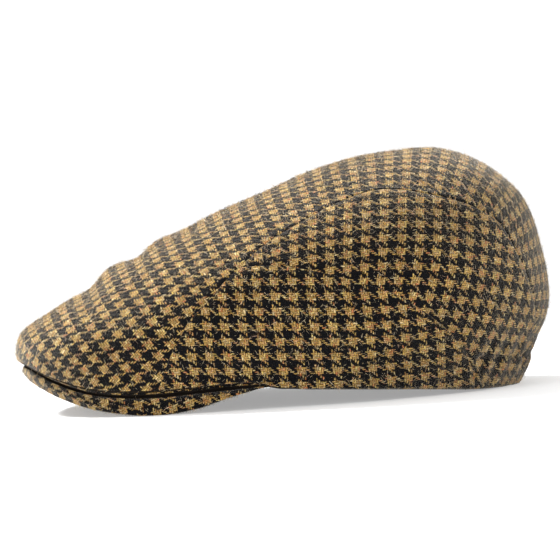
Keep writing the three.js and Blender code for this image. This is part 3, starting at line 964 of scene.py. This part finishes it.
def inside_material(make):
    """The plain wrong side of the cloth: fine brown threads in a twill."""
    cap = bpy.context.scene.flat_cap
    place = make.add("ShaderNodeUVMap", {"uv_map": "cloth"})
    u, v = make.parts(place)
    uneven = make.noise(place, 900.0, 3.0, 0.6)
    rib = ((u + v) / 0.0011 + uneven * 0.7).fraction()
    thread = ((u - v) / 0.0006 + uneven * 0.5).fraction()
    height = (1 - (rib * 2 - 1) ** 2) * (0.6 + 0.4 * (1 - (thread * 2 - 1) ** 2))
    wear = make.noise(place, 35.0, 4.0, 0.6)
    # Painted shade: the low places of the ribs darken the brown towards a third of its tone; the
    # wear noise adds uneven tone.
    shade = height * 0.6 + wear * 0.5
    return make.finish(
        Base_Color=make.tint(shade, colour(cap.inside, 0.35), colour(cap.inside)),
        Roughness=make.mix(wear, 0.62, 0.8), Normal=make.relief(height, 0.6, 0.00015),
        Sheen_Weight=0.2,
    )


def gap_shade_material(make):
    """Painted shade: a near-black sheet let into the gap between the crown's edge and the peak,
    where the shade falls.
    """
    place = make.add("ShaderNodeUVMap", {"uv_map": "cloth"})
    wear = make.noise(place, 1800.0, 3.0, 0.6)
    return make.finish(
        Base_Color=make.tint(wear, (0.004, 0.003, 0.002, 1), (0.016, 0.012, 0.009, 1)),
        Roughness=make.mix(wear, 0.85, 0.95), Specular_IOR_Level=0.1,
    )


MAKERS = {
    "houndstooth_tweed": tweed_material,
    "inside_cloth": inside_material,
    "gap_felt": gap_shade_material,
    "wool_nap": nap_material,
    "stray_wool": stray_material,
}


def material(name):
    return bpy.data.materials.get(name) or MAKERS[name](Material(name))


def cloths():
    """The materials in the order of their slots: the tweed, its inside, and the near-black painted
    shade of the gap.
    """
    return [material(name) for name in ("houndstooth_tweed", "inside_cloth", "gap_felt")]


# ---- settings, operators and panel ----


def number_setting(name, description, default, high, **kind):
    return bpy.props.FloatProperty(
        name=name, description=description, default=default, min=0, max=high, **kind
    )


def length_setting(name, description, default):
    return number_setting(name, description, default, 0.1, unit="LENGTH", subtype="DISTANCE")


def colour_setting(name, description, default):
    return bpy.props.FloatVectorProperty(
        name=name, description=description, default=default, min=0, max=1, size=3, subtype="COLOR"
    )


class FlatCapSettings(bpy.types.PropertyGroup):
    """Sizes and colours of the flat cap's cloth."""

    check_width: length_setting("Check width", "One repeat of the check along the cap", 0.0096)
    check_height: length_setting("Check height", "One repeat of the check across the cap", 0.0081)
    raggedness: number_setting("Raggedness", "How far threads stray, in threads", 1.7, 3)
    seam_depth: length_setting("Seam depth", "How far the cloth dips into a seam", 0.0002)
    nap_length: length_setting("Nap length", "Usual length of a loose fibre", 0.0017)
    nap_width: length_setting("Nap width", "Width of a loose fibre", 0.0001)
    nap_density: number_setting("Nap density", "Loose fibres on a square millimetre", 0.8, 1.1)
    stray_length: length_setting("Stray length", "Usual length of a stray hair", 0.0024)
    stray_width: length_setting("Stray width", "Width of a stray hair", 0.00016)
    stray_density: number_setting("Stray density", "Stray hairs on a square millimetre", 0.2, 1)
    tan: colour_setting("Tan", "The light yarn's main wool", (0.57, 0.325, 0.105))
    mustard: colour_setting("Mustard", "The light yarn's second wool", (0.56, 0.38, 0.075))
    yellow: colour_setting("Yellow", "Yellow wool in the light yarn", (0.68, 0.51, 0.09))
    cream: colour_setting("Cream", "Pale wool in the light yarn", (0.88, 0.72, 0.42))
    rust: colour_setting("Rust", "Red-brown wool in the light yarn", (0.58, 0.15, 0.05))
    dark: colour_setting("Dark", "The dark yarn", (0.004, 0.0045, 0.006))
    grey: colour_setting("Grey", "Paler fibres in the dark yarn", (0.05, 0.054, 0.066))
    hair: colour_setting("Hair", "Pale stray hairs", (0.72, 0.64, 0.5))
    inside: colour_setting("Inside", "The cloth's plain inside", (0.07, 0.045, 0.028))


# Each panel's place on the chart, its points, rough size and sewn borders, and how it is cut from
# the cloth.
PANELS = {
    "top": dict(area=TOP_AREA, shape=(236, 150), size=(330, 180), seams="near far", roll=True),
    "upper": dict(area=UPPER_AREA, shape=(150, 40), size=(190, 45), seams="near far start"),
    "ear": dict(area=EAR_AREA, shape=(130, 56), size=(165, 66), seams="far start end"),
}
CUTS = {
    "top": dict(shape=(46, 27), seen=[0, 1], grain=(0, 0), start=(1003.6, 998.3)),
    "upper": dict(shape=(44, 12), seen=[0, 2], grain=(-4, -11.3), start=(1000.1, 996.2)),
    "ear": dict(shape=(34, 22), seen=[0, 2], grain=(1.9, 7.5), start=(1000.1, 1001.2)),
}


def panel_for(kind, name, node, mirrored=False):
    flat = cut(PANELS[kind]["area"], **CUTS[kind])
    piece = build_panel(name, flat=flat, materials=cloths(), mirrored=mirrored, **PANELS[kind])
    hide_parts(node)


def panels_for(kind, name, node):
    for side in ("left", "right"):
        panel_for(kind, f"{name}_{side}", f"{node}_{side}", mirrored=side == "right")


class FLATCAP_OT_top_panel(bpy.types.Operator):
    """Build the long panel from the front edge over the crown to the back"""

    bl_idname = "flatcap.top_panel"
    bl_label = "Top Panel"

    def execute(self, context):
        panel_for("top", "top_cloth", "crown_top")
        return {"FINISHED"}


class FLATCAP_OT_side_panels(bpy.types.Operator):
    """Build the upper side panels, left and right"""

    bl_idname = "flatcap.side_panels"
    bl_label = "Upper Side Panels"

    def execute(self, context):
        panels_for("upper", "side_cloth", "side_upper")
        return {"FINISHED"}


class FLATCAP_OT_ear_panels(bpy.types.Operator):
    """Build the ear panels, left and right"""

    bl_idname = "flatcap.ear_panels"
    bl_label = "Ear Panels"

    def execute(self, context):
        panels_for("ear", "ear_cloth", "ear_panel")
        return {"FINISHED"}


class FLATCAP_OT_peak(bpy.types.Operator):
    """Build the cloth-covered peak"""

    bl_idname = "flatcap.peak"
    bl_label = "Peak"

    def execute(self, context):
        build_peak(cloths())
        return {"FINISHED"}


class FLATCAP_OT_nap(bpy.types.Operator):
    """Cover the tweed with its loose woollen fibres"""

    bl_idname = "flatcap.nap"
    bl_label = "Nap"

    def execute(self, context):
        cap = context.scene.flat_cap
        kinds = (
            ("nap", "wool_nap", 40, cap.nap_density, (cap.nap_length, cap.nap_width)),
            ("hairs", "stray_wool", 80, cap.stray_density, (cap.stray_length, cap.stray_width)),
        )
        for number, (cloth, skin) in enumerate(SKINS.items()):
            whole = cell_sizes(skin[0]).sum() / MM**2
            for kind, wool, seed, density, size in kinds:
                name = cloth.replace("cloth", kind)
                build_nap(name, skin, int(whole * density), seed + number, size, material(wool))
        return {"FINISHED"}


class FLATCAP_OT_stage(bpy.types.Operator):
    """Set out the floor, the studio light and the camera"""

    bl_idname = "flatcap.stage"
    bl_label = "Studio"

    def execute(self, context):
        set_stage(context.scene)
        return {"FINISHED"}


class FLATCAP_PT_cap(bpy.types.Panel):
    bl_label = "Flat Cap"
    bl_idname = "FLATCAP_PT_cap"
    bl_space_type = "VIEW_3D"
    bl_region_type = "UI"
    bl_category = "Flat Cap"

    def draw(self, context):
        for name in FlatCapSettings.__annotations__:
            self.layout.prop(context.scene.flat_cap, name)
        for operator in OPERATORS:
            self.layout.operator(operator.bl_idname)


# ---- stage ----

VIEW_RISE = 3.5  # degrees that the camera looks down on the hem's plane
VIEW_TARGET = (-0.8, 0, 53.5)  # what it looks at, in the cap's own millimetres
VIEW_WIDTH = 302.4  # how much of the cap's length it takes in
LENS, SENSOR = 600, 36
FLOOR_REACH = 14  # metres each way
FLOOR_SHADE, FLOOR_GLOW, SKY = 0.62, 0.34, 1.1
LIT_PLACE = (0, 0, 0.06)  # what the lamps point at, in metres, as their own places are
LAMPS = (
    ("key", "AREA", (-0.7, -1.3, 1.7), dict(energy=7, shape="SQUARE", size=0.9)),
    (
        "top", "SPOT", (-1.0, 0.75, 1.4),
        dict(energy=950, spot_size=math.radians(16), spot_blend=0.4, shadow_soft_size=0.35),
    ),
)


def set_stage(scene):
    floor = bpy.data.meshes.new("floor")
    far = FLOOR_REACH
    corners = [(-far, -far, 0), (far, -far, 0), (far, far, 0), (-far, far, 0)]
    floor.from_pydata(corners, [], [(0, 1, 2, 3)])
    make = Material("studio_floor")
    place = make.add("ShaderNodeTexCoord", output=3)
    floor.materials.append(
        make.finish(
            Base_Color=colour([FLOOR_SHADE] * 3), Emission_Color=colour([1] * 3),
            Emission_Strength=FLOOR_GLOW, Roughness=make.mix(make.noise(place, 3.0), 0.7, 0.8),
        )
    )
    add_object("floor", floor)

    world = bpy.data.worlds.new("studio")
    world.use_nodes = True
    sky = world.node_tree.nodes["Background"].inputs
    sky["Color"].default_value, sky["Strength"].default_value = colour([1] * 3), SKY
    scene.world = world
    for name, kind, place, settings in LAMPS:
        data = bpy.data.lights.new(name, kind)
        for key, value in settings.items():
            setattr(data, key, value)
        lamp = add_object(name, data)
        lamp.location = place
        towards = Vector(LIT_PLACE) - lamp.location
        lamp.rotation_euler = towards.to_track_quat("-Z", "Y").to_euler()
        lamp.visible_camera = False

    scene.view_settings.view_transform = "Standard"
    turn = Matrix.Rotation(TILT, 3, "Y")
    target = Vector(set_down(VIEW_TARGET))
    rise = math.radians(VIEW_RISE)
    back = turn @ Vector((0, -math.cos(rise), math.sin(rise)))
    right = turn @ Vector((1, 0, 0))
    camera = add_object("camera", bpy.data.cameras.new("camera"))
    camera.data.lens, camera.data.sensor_width = LENS, SENSOR
    away = VIEW_WIDTH * MM / SENSOR * LENS
    axes = Matrix((right, back.cross(right), back)).transposed()
    camera.matrix_world = Matrix.Translation(target + back * away) @ axes.to_4x4()
    camera.data.clip_end = 100
    scene.camera = camera


OPERATORS = (
    FLATCAP_OT_top_panel, FLATCAP_OT_side_panels, FLATCAP_OT_ear_panels, FLATCAP_OT_peak,
    FLATCAP_OT_nap, FLATCAP_OT_stage,
)


def register():
    for part in (FlatCapSettings, *OPERATORS, FLATCAP_PT_cap):
        bpy.utils.register_class(part)
    bpy.types.Scene.flat_cap = bpy.props.PointerProperty(type=FlatCapSettings)


def unregister():
    del bpy.types.Scene.flat_cap
    for part in (FLATCAP_PT_cap, *reversed(OPERATORS), FlatCapSettings):
        bpy.utils.unregister_class(part)


def main():
    register()
    for operator in OPERATORS:
        group, name = operator.bl_idname.split(".")
        getattr(getattr(bpy.ops, group), name)()


if __name__ == "__main__":
    main()
